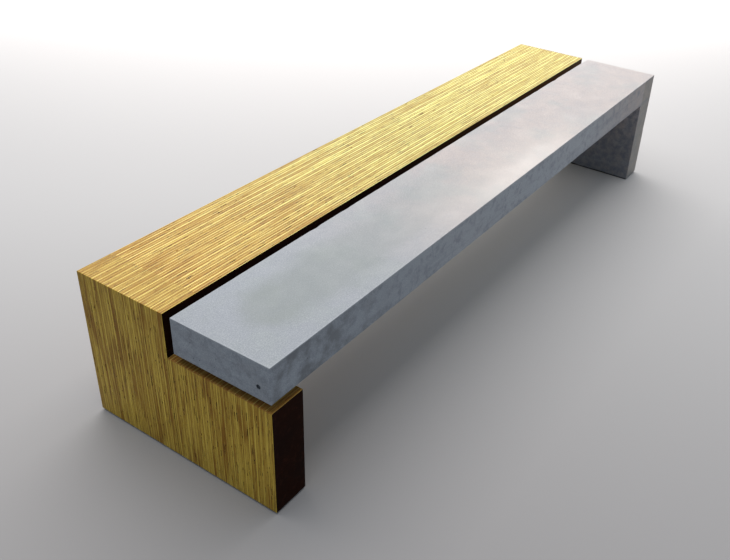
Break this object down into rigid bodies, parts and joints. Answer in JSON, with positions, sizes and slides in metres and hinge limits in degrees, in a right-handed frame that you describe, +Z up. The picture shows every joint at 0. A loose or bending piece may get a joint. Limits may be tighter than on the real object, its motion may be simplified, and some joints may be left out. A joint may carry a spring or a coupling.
{
  "type": "garden bench",
  "caption": "Backless bench of two interlocking inverted L halves, laminated plywood on edge and cast concrete, with a narrow open reveal between them.",
  "frame": {"origin": "on the ground, at the centre of the bench's footprint", "axes": "+X along the bench, from the plywood leg to the concrete leg; +Y across it, from the concrete side to the plywood side; +Z up"},
  "size_m": [2.3, 0.6, 0.43],
  "materials": {
    "plywood": "satin",
    "concrete": "matte",
    "reinforcing_steel": "matte",
    "fixing_steel": "satin",
    "spacer_steel": "satin",
    "dowel_wood": "matte",
    "foot_rubber": "matte"
  },
  "bodies": {
    "root": {"beam_board_01": "plywood", "beam_board_02": "plywood", "beam_board_03": "plywood", "beam_board_04": "plywood", "beam_board_05": "plywood", "beam_board_06": "plywood", "beam_board_07": "plywood", "beam_board_08": "plywood", "beam_board_09": "plywood", "beam_board_10": "plywood", "beam_board_11": "plywood", "beam_board_12": "plywood", "beam_board_13": "plywood", "beam_board_14": "plywood", "beam_board_15": "plywood", "beam_board_16": "plywood", "leg_board_01": "plywood", "leg_board_02": "plywood", "leg_board_03": "plywood", "leg_board_04": "plywood", "leg_board_05": "plywood", "leg_board_06": "plywood", "leg_board_07": "plywood", "leg_board_08": "plywood", "leg_board_09": "plywood", "leg_board_10": "plywood", "leg_board_11": "plywood", "leg_board_12": "plywood", "leg_board_13": "plywood", "leg_board_14": "plywood", "leg_board_15": "plywood", "leg_board_16": "plywood", "leg_packer": "plywood", "ledge_board_01": "plywood", "ledge_board_02": "plywood", "ledge_board_03": "plywood", "ledge_board_04": "plywood", "ledge_board_05": "plywood", "ledge_board_06": "plywood", "ledge_board_07": "plywood", "ledge_board_08": "plywood", "ledge_board_09": "plywood", "ledge_board_10": "plywood", "ledge_board_11": "plywood", "ledge_board_12": "plywood", "ledge_board_13": "plywood", "ledge_board_14": "plywood", "ledge_board_15": "plywood", "ledge_board_16": "plywood", "ledge_board_17": "plywood", "concrete_body": "concrete", "main_bars": "reinforcing_steel", "link_bars": "reinforcing_steel", "tie_rods": "fixing_steel", "tie_washers": "fixing_steel", "tie_nuts": "fixing_steel", "corner_dowels": "dowel_wood", "bearing_spacers": "spacer_steel", "locating_pins": "fixing_steel", "foot_pads": "foot_rubber"}
  },
  "joints": []
}
